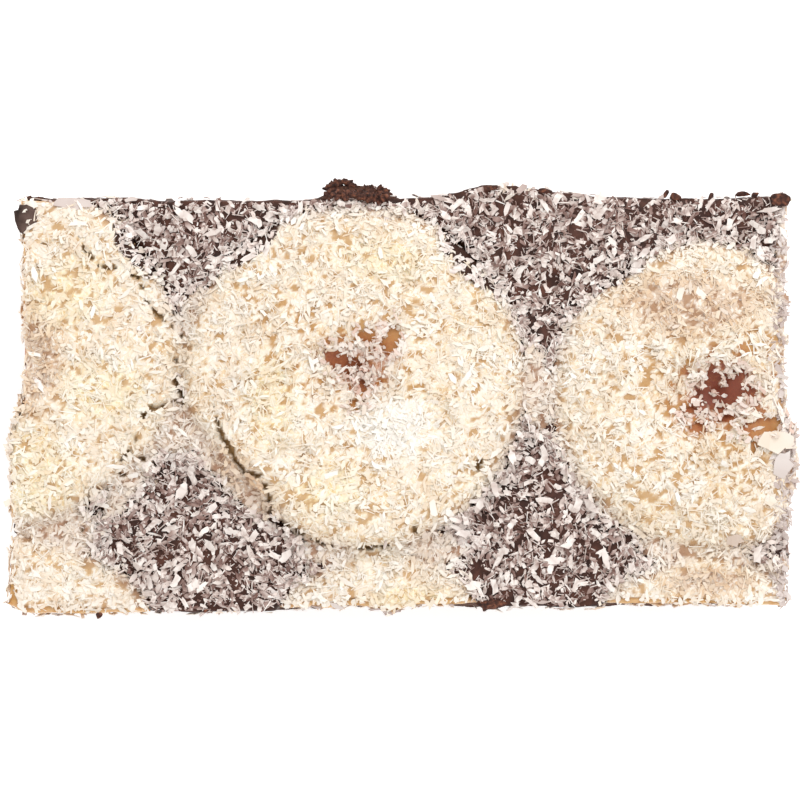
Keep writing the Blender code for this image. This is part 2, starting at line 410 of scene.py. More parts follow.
def open_cracks(piece, lowest):
    """Sinks the upper side of a piece along the cracks, and keeps how deep for its material, which paints
    shade down there.
    """
    spots = points_of(piece)
    away = from_cracks(spots[:, 0], spots[:, 1])
    share = np.clip(1 - away / CRACK_SLOPE, 0, 1) * np.clip((spots[:, 2] - lowest) / CRACK_FADE, 0, 1)
    spots[:, 2] -= CRACK_DEPTH * share
    move_points(piece, spots)
    store(piece, "crack_shade", share)


DRIP = 2.6 * MM
DRIP_WIDTH = 2.4 * MM
DRIP_PLACE = 2.1 * MM  # to the right of the stone
CORNER_ROUND = 2.8 * MM
CORNER_REACH = 3.2 * MM
BACK_CUT = 35 * MM  # what is further back than this is drawn in
BACK_CUT_SHARE = 0.42  # by this much of how far beyond it is
BACK_CUT_WIDTH = 20 * MM  # and growing over this width to the left


def shape_front(half, node):
    """Shapes the cut side of a front half: a soft wavy bulge, a drip where it is the middle one, and the
    slice's round corner. Returns how near each point is to that side."""
    low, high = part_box(node)
    out = HALVES[node][2]
    spots = points_of(half)
    at_edge = np.clip(1 - (spots[:, 1] - low.y) / (3 * MM), 0, 1)
    share = at_edge * np.clip((spots[:, 2] - low.z) / (6 * MM), 0, 1)
    has_drip = low.x < 0 < high.x
    drip_place = stones[node].x + DRIP_PLACE
    for spot, part in zip(spots, share):
        wave = 0.5 * MM * noise.noise((spot[0] / (4 * MM), spot[2] / (6 * MM), 0.0))
        drip = has_drip * DRIP * math.exp(-((spot[0] - drip_place) / DRIP_WIDTH) ** 2)
        corner = CORNER_ROUND * math.exp(-((spot[0] - cad_low.x) / CORNER_REACH) ** 2)
        spot[1] -= part * (out + wave + drip - corner)
    move_points(half, spots)
    return at_edge


def squeeze_back(piece):
    """Draws a piece in at the back left, where the knife took more of the edge away."""
    spots = points_of(piece)
    beyond = np.maximum(spots[:, 1] - BACK_CUT, 0)
    spots[:, 1] -= BACK_CUT_SHARE * beyond * np.clip(-spots[:, 0] / BACK_CUT_WIDTH - 0.4, 0, 1)
    move_points(piece, spots)


MIX_UNDER, MIX_OVER, MIXED = 6, 7, 2  # the inputs and the output of a Mix node that are for colours


def lay_over(tree, tone, name, over):
    """Lays one colour over another as far as what the piece keeps under this name says."""
    share = add_node(tree, "Attribute", attribute_name=name).outputs["Fac"]
    inputs = {"Factor": share, MIX_UNDER: tone, MIX_OVER: over}
    return add_node(tree, "Mix", inputs, data_type="RGBA").outputs[MIXED]


def stained(tree, golds):
    """The colours of the fruit by how far a place is from the stone, with a ragged border."""
    place = add_node(tree, "TexCoord").outputs["Object"]
    from_stone = add_node(tree, "Attribute", attribute_name="from_stone").outputs["Fac"]
    wander = add_node(tree, "TexNoise", {"Vector": place}, scale=1 / (3 * MM), detail=6.0).outputs["Fac"]
    grain = add_node(tree, "TexNoise", {"Vector": place}, scale=1 / (0.45 * MM), detail=3.0).outputs["Fac"]
    border = add_node(tree, "Math", {0: wander, 1: 0.34, 2: -0.27}, operation="MULTIPLY_ADD").outputs[0]
    border = add_node(tree, "Math", {0: grain, 1: 0.2, 2: border}, operation="MULTIPLY_ADD").outputs[0]
    reach = add_node(tree, "Math", {0: from_stone, 1: border}, operation="ADD").outputs[0]
    return add_node(tree, "ValToRGB", {"Fac": reach}, golds).outputs["Color"]


# Where the stone lay in each half: (across and along from the middle of the half, how many times
# longer than wide, turn, how much less it stained), in mm and degrees
HOLLOWS = {
    "peach_middle": (-1.6, 3.0, 1.8, -24, 0.13),
    "peach_right": (2.4, 1.2, 1.2, 10, 0.0),
    "peach_left": (1.5, 0.0, 0.5, 0, 0.1),
}


def from_spot(x, y, spot):
    """Where points are from a spot, along it and across it. A spot is (node, across and along from its
    stone, turn), in mm and degrees."""
    node, across, along, turn = spot
    off_x = x - stones[node].x - across * MM
    off_y = y - stones[node].y - along * MM
    cosine, sine = math.cos(math.radians(turn)), math.sin(math.radians(turn))
    return off_x * cosine + off_y * sine, off_y * cosine - off_x * sine


def from_hollow(x, y):
    """How far points are from the nearest stone's hollow, as a share of that half's radius."""
    nearest = np.full(np.shape(x), 1.0)
    for node in HALVES:
        across, along, longer, turn, paler = HOLLOWS.get(node, (0, 0, 1, 0, 0))
        lengthwise, crosswise = from_spot(x, y, (node, across, along, turn))
        away = np.hypot(lengthwise / longer, crosswise)
        nearest = np.minimum(nearest, away / HALVES[node][0] + paler)
    return nearest


GOLDS = [
    (0.09, "#8a4a38"),
    (0.15, "#9a5a3d"),
    (0.24, "#b3704a"),
    (0.34, "#bf8652"),
    (0.70, "#d4a86c"),
    (1.0, "#d3ab7d"),
]
CUT_GOLDS = [(0.3, "#cf9c66"), (0.5, "#dfb98c"), (0.7, "#ead0ac")]

# Canned peach: wet cut flesh, so soft highlights and a little light inside it. Gold to the rim,
# orange where the stone's stain runs out, red brown in the hollow, and a dull brown painted down in the
# cracks as shade.
flesh, tree, shader = new_material("canned peach flesh", 0.38, 1.37)
place = add_node(tree, "TexCoord").outputs["Object"]
fibres = add_node(tree, "TexNoise", {"Vector": place}, scale=1 / (1.4 * MM), detail=5.0).outputs["Fac"]
cut_face = add_node(tree, "ValToRGB", {"Fac": fibres}, CUT_GOLDS).outputs["Color"]
tone = lay_over(tree, stained(tree, GOLDS), "at_edge", cut_face)
# Painted shade: dull brown down in the cracks
tone = lay_over(tree, tone, "crack_shade", CRACK_SHADE)
tree.links.new(tone, shader.inputs["Base Color"])
relief = add_node(tree, "Bump", {"Height": fibres}, strength=0.55, distance=0.3 * MM)
tree.links.new(relief.outputs["Normal"], shader.inputs["Normal"])
shader.inputs["Subsurface Weight"].default_value = 0.15
shader.inputs["Subsurface Radius"].default_value = (1.0, 0.5, 0.2)
shader.inputs["Subsurface Scale"].default_value = 1.5 * MM

STAIN_DEPTH = 7 * MM  # from the rim down, as deep as the stone stained the flesh
CRACKS_IN_FRUIT = 9 * MM  # how far below the top the cracks show
CRACKS_IN_GLAZE = 6 * MM

fruit = {}
for node in HALVES:
    radius, cut = HALVES[node][:2]
    half = fine_copy(node, node.replace("peach", "fruit"), FRUIT_VOXEL, 3)
    unsettle(half, "fibre", FIBRE, FIBRE_DEPTH, 2)
    at_front = np.zeros(len(half.data.vertices))
    if "front" in cut:
        at_front = shape_front(half, node)
    store(half, "at_edge", at_front)
    spots = points_of(half)
    deep = np.maximum(stones[node].z - STAIN_DEPTH - spots[:, 2], 0) / radius
    store(half, "from_stone", np.hypot(from_hollow(spots[:, 0], spots[:, 1]), deep))
    squeeze_back(half)
    open_cracks(half, stones[node].z - CRACKS_IN_FRUIT)
    wear(half, flesh)
    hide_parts(node)
    fruit[node] = half
open_cracks(glaze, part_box("chocolate_glaze")[1].z - CRACKS_IN_GLAZE)

# ---------------------------------------------------------------- coconut bed
# Desiccated coconut strewn by hand over fruit and glaze. On the wet fruit it packed into a thin damp
# bed that bridges the gap round each half, and only a few places stayed bare.
CELL = 0.25 * MM
MARGIN = 3 * MM
SEED = 7
dice = np.random.default_rng(SEED)

map_low = np.array([cad_low.x, cad_low.y]) - MARGIN
map_cells = np.ceil((np.array([cad_high.x, cad_high.y]) + MARGIN - map_low) / CELL).astype(int)
map_lines = [map_low[axis] + (np.arange(map_cells[axis]) + 0.5) * CELL for axis in (0, 1)]
map_x, map_y = np.meshgrid(*map_lines, indexing="ij")
NOTHING, GLAZE, FRUIT, SPONGE = range(4)


def triangles_of(piece):
    """The triangles of a piece, a row of three point numbers each."""
    mesh = piece.data
    mesh.calc_loop_triangles()
    corners = np.empty(len(mesh.loop_triangles) * 3, np.int32)
    mesh.loop_triangles.foreach_get("vertices", corners)
    return corners.reshape(-1, 3)


def feel_slice():
    """One search tree of all the layers, and what each of its triangles belongs to."""
    spots, corners, kinds = [], [], []
    count = 0
    for kind, pieces in ((SPONGE, [sponge]), (GLAZE, [glaze]), (FRUIT, list(fruit.values()))):
        for piece in pieces:
            mine = triangles_of(piece)
            spots.append(points_of(piece))
            corners.append(mine + count)
            kinds.append(np.full(len(mine), kind))
            count += len(spots[-1])
    spots, corners = np.concatenate(spots), np.concatenate(corners)
    return BVHTree.FromPolygons(spots.tolist(), corners.tolist()), np.concatenate(kinds)


slice_tree, slice_kinds = feel_slice()
ground = np.full(map_cells, -1.0)
zone = np.full(map_cells, NOTHING)
down = Vector((0, 0, -1))
for i in range(map_cells[0]):
    for j in range(map_cells[1]):
        hit, normal, index, distance = slice_tree.ray_cast(Vector((map_x[i, j], map_y[i, j], 0.1)), down)
        if hit is not None:
            ground[i, j] = hit.z
            zone[i, j] = slice_kinds[index]


def blur(field, radius):
    """Softens a map by a radius in metres."""
    reach = max(1, int(3 * radius / CELL))
    weights = np.exp(-0.5 * (np.arange(-reach, reach + 1) * CELL / radius) ** 2)
    weights /= weights.sum()
    for axis in (0, 1):
        field = np.apply_along_axis(np.convolve, axis, field, weights, "same")
    return field


def patches(grain, seed):
    """A map of soft random patches of about that size, mostly between 0 and 1."""
    field = blur(np.random.default_rng(seed).random(map_cells), grain / 2)
    return np.clip(0.5 + (field - field.mean()) / field.std() / 4, 0, 1)


def ramp(value, low, high):
    """0 below low, 1 above high and soft between."""
    share = np.clip((value - low) / (high - low), 0, 1)
    return share * share * (3 - 2 * share)


# Where the coconut hangs out over a side wall: (side, from y, to y, how far), in mm
OVERHANGS = [
    (1, -41, -14, 0.7),
    (1, -17, -4, 1.5),
    (1, -6, 13, 1.0),
    (1, 11, 41, 1.9),
    (-1, -11, 1, 1.3),
]
OVERHANG_FALL = 0.9  # how steeply it hangs down
hung = np.zeros(map_cells, bool)
ragged = patches(1.6 * MM, 31)
for side, start, end, reach in OVERHANGS:
    for j, y in enumerate(map_lines[1]):
        across = np.nonzero((zone[:, j] == GLAZE) | (zone[:, j] == FRUIT))[0]
        share = ramp(y, (start - 1) * MM, (start + 1) * MM) * (1 - ramp(y, (end - 1) * MM, (end + 1) * MM))
        if not len(across):
            continue
        last = across[-1] if side > 0 else across[0]
        steady = last - 3 * side  # far enough in for the top to be level
        cells_out = int(reach * MM * share * (0.4 + 1.2 * ragged[last, j]) / CELL)
        for step in range(1, cells_out + 1):
            out = last + side * step
            ground[out, j] = ground[steady, j] - OVERHANG_FALL * step * CELL
            zone[out, j] = zone[steady, j]
            hung[out, j] = True


def fill_trenches(field, radius):
    """Fills what is narrower than twice the radius in a map: its highest values spread, then drawn back."""
    reach = int(radius / CELL)
    offsets = range(-reach, reach + 1)
    steps = [(i, j) for i in offsets for j in offsets if i * i + j * j <= reach * reach]
    spread = np.max([np.roll(field, step, (0, 1)) for step in steps], axis=0)
    return np.min([np.roll(spread, step, (0, 1)) for step in steps], axis=0)


def ovals(spots, inner, outer):
    """A map that is 1 inside oval spots and falls to 0 round them. A spot is (node, across and along
    from its stone, half length, half width, turn), in mm and degrees."""
    field = np.zeros(map_cells)
    for node, across, along, half_length, half_width, turn in spots:
        lengthwise, crosswise = from_spot(map_x, map_y, (node, across, along, turn))
        away = np.hypot(lengthwise / (half_length * MM), crosswise / (half_width * MM))
        field = np.maximum(field, 1 - ramp(away, inner, outer))
    return field


# What stayed bare on the fruit. The first of these spots hold a few small bits each.
BARE_WITH_BITS = 13
BARE = [
    ("peach_middle", -1.8, 3.1, 3.3, 1.85, -24),
    ("peach_middle", 2.0, -1.0, 1.2, 1.5, 0),
    ("peach_middle", 0.9, -4.7, 1.7, 1.0, 0),
    ("peach_middle", 2.2, 8.3, 1.6, 1.4, 0),
    ("peach_middle", 6.9, 7.3, 1.7, 2.7, -15),
    ("peach_right", 2.4, 1.2, 3.9, 3.5, 10),
    ("peach_right", 0.1, 5.2, 0.8, 1.3, 0),
    ("peach_right", 6.2, 4.6, 0.7, 1.2, 0),
    ("peach_right", 7.2, 1.0, 1.4, 1.0, -35),
    ("peach_right", 3.3, -4.1, 1.5, 0.7, 10),
    ("peach_right", -3.8, -2.5, 1.4, 0.7, 10),
    ("peach_right", -2.2, -5.8, 1.5, 0.9, 0),
    ("peach_right", 9.4, -5.7, 3.4, 1.7, 8),
    ("peach_right", 8.2, -9.2, 0.7, 1.2, -20),
    ("peach_left", 7.4, 20.9, 0.6, 0.4, -30),
    ("peach_left", 6.1, 16.7, 0.6, 0.4, -40),
]
# Where the juice of the stone's hollow reddened the coconut
STAINED = [
    ("peach_middle", 1.5, 2.0, 5.0, 4.2, -20),
    ("peach_middle", 5.5, 6.5, 3.4, 3.8, 0),
    ("peach_right", 2.0, 0.8, 6.0, 5.2, 0),
    ("peach_right", -2.5, -3.5, 4.0, 3.4, 30),
]
# Where syrup soaked it yellow
SOAKED = [
    ("peach_middle", -4.5, -20.5, 8.0, 5.0, 10),
    ("peach_middle", -15.0, -4.0, 5.0, 9.0, 0),
    ("peach_middle", 6.0, 22.0, 10.0, 4.0, -10),
    ("peach_left", 5.0, -22.0, 9.0, 9.0, 0),
    ("peach_left", 12.0, 12.0, 8.0, 6.0, 30),
    ("peach_left", 18.0, -6.0, 8.0, 6.0, 0),
    ("peach_front_middle", 6.0, 12.0, 9.0, 4.0, 0),
]
# Where it lay dry and white
DRY = [
    ("peach_middle", 7.7, -8.7, 6.5, 4.5, 0),
]
# Where the coconut is painted duller: in part the chocolate under it showing through, in part
# painted shade beside the fruit's rims and in recesses
DULL_AND_SHADED = [
    ("peach_left", 5.0, -0.5, 6.0, 9.0, 0),
    ("peach_right", -4.0, 17.0, 14.0, 6.0, 0),
    ("peach_middle", -20.0, -19.0, 3.0, 8.0, 40),
    ("peach_front_right", -1.0, 20.5, 9.0, 2.4, 0),
]
# Where less of it lies on the fruit's edge
SPARSE = [
    ("peach_left", 31.5, 20.0, 8.0, 9.0, 20),
    ("peach_middle", 26.5, 25.0, 11.0, 7.5, -35),
]
# Where glaze ran up over the fruit's edge
GLAZED = [
    ("peach_middle", 22.0, 21.8, 3.0, 8.0, 45),
    ("peach_right", -17.2, 24.0, 3.0, 7.0, -54),
    ("peach_left", 24.0, 20.0, 2.6, 6.0, 40),
    ("peach_middle", -19.3, 24.8, 2.4, 7.0, -52),
]
# Where coconut drifted up against the fruit and covers the glaze
DRIFTS = [
    ("peach_left", 23.5, -21.5, 2.6, 10.0, -32),
    ("peach_middle", -26.3, -14.1, 2.2, 5.0, 30),
    ("peach_left", 35.6, 6.6, 3.4, 7.0, 0),
    ("peach_left", 31.5, -11.5, 8.0, 6.5, 0),
    ("peach_left", 20.0, 20.0, 4.5, 6.0, 0),
    ("peach_middle", 34.2, -2.0, 2.6, 8.0, 5),
    ("peach_middle", -21.0, -20.0, 2.2, 8.0, 40),
    ("peach_front_left", 6.0, 29.8, 9.0, 7.0, 0),
    ("peach_front_right", -3.0, 27.2, 10.5, 4.5, 0),
    ("peach_front_right", 13.0, 22.0, 4.0, 3.0, 0),
    ("peach_front_middle", 1.2, 22.6, 15.0, 4.2, 0),
]

# What lies where: the slab, the narrow gaps round the fruit, the top and how near a place is to fruit
GAP_WIDTH = 1.2 * MM
GAP_DEPTH = 0.5 * MM
slab = zone != NOTHING
gap = slab & (fill_trenches(ground, GAP_WIDTH / 2) - ground > GAP_DEPTH)
top = (zone == GLAZE) | (zone == FRUIT) | gap
edge = blur(top.astype(float), 0.9 * MM)
on_half = blur((zone == FRUIT).astype(float), 1.8 * MM)
near_fruit = np.maximum(on_half, 0.62 * ovals(DRIFTS, 0.5, 1.5))

# How the bed is at each place, from 0 for not at all to 1
dry = ovals(DRY, 0.5, 1.6)
dull_and_shaded = ovals(DULL_AND_SHADED, 0.5, 1.5)
sparse = ovals(SPARSE, 0.6, 1.4)
bare = ramp(ovals(BARE, 0.7, 1.4) + (patches(0.9 * MM, 11) - 0.5) * 1.1, 0.45, 0.8)
stain = ovals(STAINED, 0.5, 1.7) * (0.5 + patches(1.5 * MM, 24))
soaked = np.maximum(ovals(SOAKED, 0.4, 1.6), ramp(patches(9 * MM, 25), 0.5, 0.9))
glazed = ramp(ovals(GLAZED, 0.6, 1.4) + (patches(1.2 * MM, 32) - 0.5) * 0.9, 0.4, 0.7)

# Where it lies thin, mostly on the right half
RIGHT_REACH = 19 * MM
right = stones["peach_right"]
from_right = (map_x - right.x) ** 2 + (map_y - right.y) ** 2
on_right = np.exp(-from_right / RIGHT_REACH ** 2)
grains = 0.65 * patches(0.7 * MM, 16) + 0.35 * patches(2.5 * MM, 29)
thin = ramp(grains, 0.62 - 0.08 * on_right, 0.7 - 0.08 * on_right)
thin = thin * (1 - dry)

# Its border: it starts where near_fruit passes wide, and stops at cracks and short of the front edge
FRONT_LIP = 9 * MM  # how far from the front wall the bed's front edge can be ragged
wide = 0.26 + 0.45 * (patches(6 * MM, 13) - 0.5) + 0.3 * (patches(1.8 * MM, 14) - 0.5)
wide = np.clip(wide, 0.05, 0.28) + 0.22 * sparse
crack_edge = (patches(0.8 * MM, 12) - 0.5) * 0.9 * MM
crack = 1 - ramp(from_cracks(map_x, map_y) + crack_edge, -0.05 * MM, 0.25 * MM)
front_lip = (map_y < cad_low.y + FRONT_LIP) & (edge + 0.25 * (patches(3 * MM, 17) - 0.5) < 0.93)
matted = top & ((near_fruit > wide) | hung | gap) & ~front_lip
covered = matted & (crack < 0.5)

# Its height: over the fruit's own unevenness, down to the glaze at its border, low in bare places
EVEN_OVER = 1.5 * MM
TRENCH_WIDTH = 2.6 * MM
CRUST_LEAST = 0.1 * MM
CRUST_LUMPS = 1.5 * MM
CRUST_GRAIN = 0.3 * MM
SHORE_THICK = 0.15 * MM
CRACK_FLOOR = 1.0 * MM  # how far below the level of the bed
BARE_FLOOR = 0.9 * MM
THIN_FLOOR = 0.15 * MM
even = blur(np.where(slab, ground, 0), EVEN_OVER)
even = even / np.maximum(blur(slab.astype(float), EVEN_OVER), 1e-6)
bridged = np.where(slab, np.maximum(ground, even), -1.0)
closed = fill_trenches(ground, TRENCH_WIDTH / 2)
lumps = 0.6 * patches(4.5 * MM, 18) + 0.4 * patches(2.0 * MM, 23)
crust = CRUST_LEAST + CRUST_LUMPS * lumps * (1 - bare) + CRUST_GRAIN * (patches(0.7 * MM, 19) - 0.3)
crust -= BARE_FLOOR * bare + THIN_FLOOR * thin
outward = ramp(near_fruit - wide, 0.0, 0.22)
shore = closed + SHORE_THICK
bed = shore + (bridged + crust * ramp(edge, 0.4, 0.9) - shore) * np.maximum(outward, hung)
bed = np.where(covered, bed, ground)
bed = np.where(matted & (crack >= 0.5), np.maximum(ground, bridged - CRACK_FLOOR), bed)

# How much it took on the look of the glaze: at its border, over the walls and where it is dull, which in
# part is painted shade
inland = on_half + 0.5 * (patches(3.5 * MM, 20) - 0.5)
over_wall = 1.5 * blur(hung.astype(float), 0.5 * MM)
glaze_tint_and_shade = np.max([1 - ramp(inland, 0.35, 1.0), over_wall, 0.8 * dull_and_shaded], axis=0).clip(0, 1)

BED_STEP = 0.46 * MM
BED_THICKNESS = 0.6 * MM
PAST_WALLS = 2 * MM  # how much longer the grid is than the slice
steps = (np.array([cad_high.x, cad_high.y]) + MM - np.array([cad_low.x, cad_low.y])) / BED_STEP
bpy.ops.object.select_all(action="DESELECT")
bpy.ops.mesh.primitive_grid_add(x_subdivisions=int(steps[0]), y_subdivisions=int(steps[1]), size=1)
coconut_bed = bpy.context.object
coconut_bed.name = "coconut_bed"
spots = points_of(coconut_bed)
spots[:, 0] = (cad_low.x + cad_high.x) / 2 + spots[:, 0] * (cad_high.x - cad_low.x + PAST_WALLS)
spots[:, 1] = (cad_low.y + cad_high.y) / 2 + spots[:, 1] * (cad_high.y - cad_low.y)
cells = np.clip(((spots[:, :2] - map_low) / CELL).astype(int), 0, map_cells - 1)
columns, rows = cells[:, 0], cells[:, 1]
spots[:, 2] = bed[columns, rows]
move_points(coconut_bed, spots)
for name, field in (
    ("glaze_tint_and_shade", glaze_tint_and_shade),
    ("stain", stain),
    ("soaked", soaked),
    ("dry", dry),
    ("bare", np.maximum(bare, 0.95 * thin)),
    ("from_stone", from_hollow(map_x, map_y)),
    ("crack_shade", crack),
    ("glazed", glazed),
):
    store(coconut_bed, name, field[columns, rows])
unselect_mesh(coconut_bed, "VERT")
for vertex, kept in zip(coconut_bed.data.vertices, matted[columns, rows]):
    vertex.select = not kept
bpy.ops.object.mode_set(mode="EDIT")
bpy.ops.mesh.delete(type="VERT")
bpy.ops.mesh.select_all(action="SELECT")
bpy.ops.mesh.delete_loose()
bpy.ops.object.mode_set(mode="OBJECT")
apply_modifier(coconut_bed, "SOLIDIFY", thickness=BED_THICKNESS, offset=-1, use_even_offset=False)

# Damp packed coconut: a matt mat of crumbs finer than a millimetre, cream where they are dry, golden
# where syrup came through, and the fruit's own colours where next to none lies on it.
packed_nut, tree, shader = new_material("damp packed coconut", 0.6, 1.3)
place = add_node(tree, "TexCoord").outputs["Object"]
specks = add_node(tree, "TexVoronoi", {"Vector": place}, scale=1 / (0.5 * MM)).outputs["Color"]
single = add_node(tree, "SeparateColor", {"Color": specks}).outputs["Red"]
soak = add_node(tree, "TexNoise", {"Vector": place}, scale=1 / (4 * MM), detail=3.0).outputs["Fac"]
paleness = add_node(tree, "Math", {0: single, 1: 0.55, 2: soak}, operation="MULTIPLY_ADD").outputs[0]
BED_ROWS = {
    "plain": [(0.42, "#dfc09a"), (0.54, "#edd8bb"), (0.7, "#f5e9d6"), (0.9, "#fbf6ec")],
    "soaked": [(0.42, "#dfbf8a"), (0.54, "#edd5a3"), (0.7, "#f5e7c3"), (0.9, "#fbf5de")],
    "dry": [(0.42, "#ecdcc4"), (0.6, "#f6ecdb"), (1.0, "#fefaf2")],
    # These greyer shades also stand for painted shade in the dull places
    "glaze_tint_and_shade": [(0.42, "#b59986"), (0.6, "#d7c2ae"), (0.8, "#ebdccd"), (1.0, "#f9f1e8")],
    "stain": [(0.42, "#b0725a"), (0.7, "#d8ad96"), (1.0, "#f0dacb")],
}
BED_GOLDS = [
    (0.09, "#8a4a38"),
    (0.15, "#9a5a3d"),
    (0.24, "#b37843"),
    (0.34, "#c0925a"),
    (0.5, "#c69d6c"),
    (1.0, "#cca87c"),
]
THIN_BY_GLAZE = "#ac866d"
RUN_GLAZE = "#40281f"
tone = add_node(tree, "ValToRGB", {"Fac": paleness}, BED_ROWS["plain"]).outputs["Color"]
for name in ("soaked", "glaze_tint_and_shade", "dry", "stain"):
    row = add_node(tree, "ValToRGB", {"Fac": paleness}, BED_ROWS[name]).outputs["Color"]
    tone = lay_over(tree, tone, name, row)
thin_tone = lay_over(tree, stained(tree, BED_GOLDS), "glaze_tint_and_shade", THIN_BY_GLAZE)
tone = lay_over(tree, tone, "bare", thin_tone)
# Painted shade: the same dull brown down in the cracks
tone = lay_over(tree, tone, "crack_shade", CRACK_SHADE)
tone = lay_over(tree, tone, "glazed", RUN_GLAZE)
tree.links.new(tone, shader.inputs["Base Color"])
grit = add_node(tree, "TexNoise", {"Vector": place}, scale=1 / (0.45 * MM), detail=2.0).outputs["Fac"]
relief = add_node(tree, "Bump", {"Height": grit}, strength=0.7, distance=0.3 * MM)
tree.links.new(relief.outputs["Normal"], shader.inputs["Normal"])
wear(coconut_bed, packed_nut)

# ---------------------------------------------------------------- loose coconut
# The dry coconut on top: shreds and shards shaved across the nut, and the slivers that come with
# them. Each bit lies where it fell, propped on those below.
STATIONS = np.linspace(-0.5, 0.5, 7)  # where along its length a bit feels what is under it
MIDDLE = len(STATIONS) // 2
STEEPEST = math.tan(math.radians(42))
ROLL_MOST = 0.7
KINDS = 64  # which of its shapes a bit has is drawn from more numbers than there are shapes


def cell_of(x, y):
    """The cell of the maps at a place."""
    return int((x - map_low[0]) / CELL), int((y - map_low[1]) / CELL)


def let_fall(x, y, turn, length, width, thick, sink, tip=0.0):
    """Lets one bit fall on the bed. It rests on the two highest supports on either side of its middle,
    leans by the ground under its edges and its own tip, and raises the bed. Returns turn and place."""
    along_x, along_y = math.cos(turn), math.sin(turn)
    line_x = x + STATIONS * (length * along_x)
    line_y = y + STATIONS * (length * along_y)
    heights = bed[((line_x - map_low[0]) / CELL).astype(int), ((line_y - map_low[1]) / CELL).astype(int)]
    middle = heights[MIDDLE]
    if middle < 0:
        return None
    heights = np.where(heights < 0, middle - 3 * MM, heights)
    rest, slope = middle, (heights[MIDDLE + 1] - heights[MIDDLE - 1]) / (length / 3)
    for one in range(MIDDLE):
        for other in range(MIDDLE + 1, len(STATIONS)):
            grade = (heights[other] - heights[one]) / (STATIONS[other] - STATIONS[one])
            height = heights[one] - grade * STATIONS[one]
            if height > rest:
                rest, slope = height, grade / length
    slope = min(max(slope, -STEEPEST), STEEPEST)
    side_x, side_y = -along_y * width / 2, along_x * width / 2
    near_side = bed[cell_of(x + side_x, y + side_y)]
    far_side = bed[cell_of(x - side_x, y - side_y)]
    roll = 0.0
    if near_side > 0 and far_side > 0:
        roll = min(max((near_side - far_side) / width, -ROLL_MOST), ROLL_MOST)
        rest = max(rest, (near_side + far_side) / 2)
    roll += tip
    rest += thick / 2 - sink + abs(tip) * width * 0.4
    count = max(2, int(length / CELL) + 1)
    shares = np.linspace(-0.5, 0.5, count)
    tops = rest + thick / 2 + slope * shares * length
    for off in (-0.6, 0.0, 0.6):
        cell_x = ((x + shares * length * along_x + off * side_x - map_low[0]) / CELL).astype(int)
        cell_y = ((y + shares * length * along_y + off * side_y - map_low[1]) / CELL).astype(int)
        old = bed[cell_x, cell_y]
        bed[cell_x, cell_y] = np.where(old > 0, np.maximum(old, tops), old)
    forward = Vector((along_x, along_y, slope)).normalized()
    up = forward.cross(Vector((-along_y, along_x, roll))).normalized()
    return np.array([forward, up.cross(forward), up]).T, (x, y, rest)


def mesh_arrays(piece):
    """Points and triangles of a modelled bit, which is then removed."""
    form = points_of(piece), triangles_of(piece)
    bpy.data.objects.remove(piece)
    return form


def bend(places, sideways, lift, draw):
    """Cuts the bit across at these places and moves each cut to a side and up or down."""
    for place in places:
        bpy.ops.mesh.select_all(action="SELECT")
        bpy.ops.mesh.bisect(plane_co=(place, 0, 0), plane_no=(1, 0, 0))
        move = (0, draw.uniform(-sideways, sideways), draw.uniform(-lift, lift))
        bpy.ops.transform.translate(value=move)


def shave_bit(seed, corners, bends, lift, ragged=False):
    """A bit of coconut one unit long and wide: a thin shard with uneven corners, bent as it dried."""
    draw = np.random.default_rng(seed)
    bpy.ops.object.select_all(action="DESELECT")
    bpy.ops.mesh.primitive_circle_add(
        vertices=corners, radius=0.6, fill_type="NGON", rotation=(0, 0, math.pi / corners)
    )
    bit = bpy.context.object
    bpy.ops.object.transform_apply(location=False, rotation=True, scale=False)
    bpy.ops.object.mode_set(mode="EDIT")
    bpy.ops.mesh.select_all(action="SELECT")
    if ragged:
        bpy.ops.mesh.subdivide(number_cuts=1)
    bpy.ops.transform.vertex_random(offset=0.2, uniform=0.4, seed=seed)
    bpy.ops.transform.resize(value=(1, 1, 0))
    bpy.ops.mesh.extrude_region_move(TRANSFORM_OT_translate={"value": (0, 0, 1)})
    bend(bends, 0.1, lift, draw)
    bpy.ops.mesh.select_all(action="SELECT")
    bpy.ops.mesh.normals_make_consistent(inside=False)
    bpy.ops.transform.translate(value=(0, 0, -0.5))
    bpy.ops.object.mode_set(mode="OBJECT")
    return mesh_arrays(bit)


def grate_shred(seed, bends):
    """A shred one unit long and wide: three-sided, thinner to its ends and bent."""
    draw = np.random.default_rng(seed)
    bpy.ops.object.select_all(action="DESELECT")
    bpy.ops.mesh.primitive_cone_add(
        vertices=3, radius1=0.28, radius2=0.12, depth=1.0, rotation=(0, math.pi / 2, 0)
    )
    shred = bpy.context.object
    bpy.ops.object.transform_apply(location=False, rotation=True, scale=False)
    bpy.ops.object.mode_set(mode="EDIT")
    bpy.ops.mesh.select_all(action="SELECT")
    bpy.ops.transform.resize(value=(1, 1.9, 1.9), center_override=(0, 0, 0))
    bend(bends, 0.16, 0.7, draw)
    bpy.ops.object.mode_set(mode="OBJECT")
    return mesh_arrays(shred)


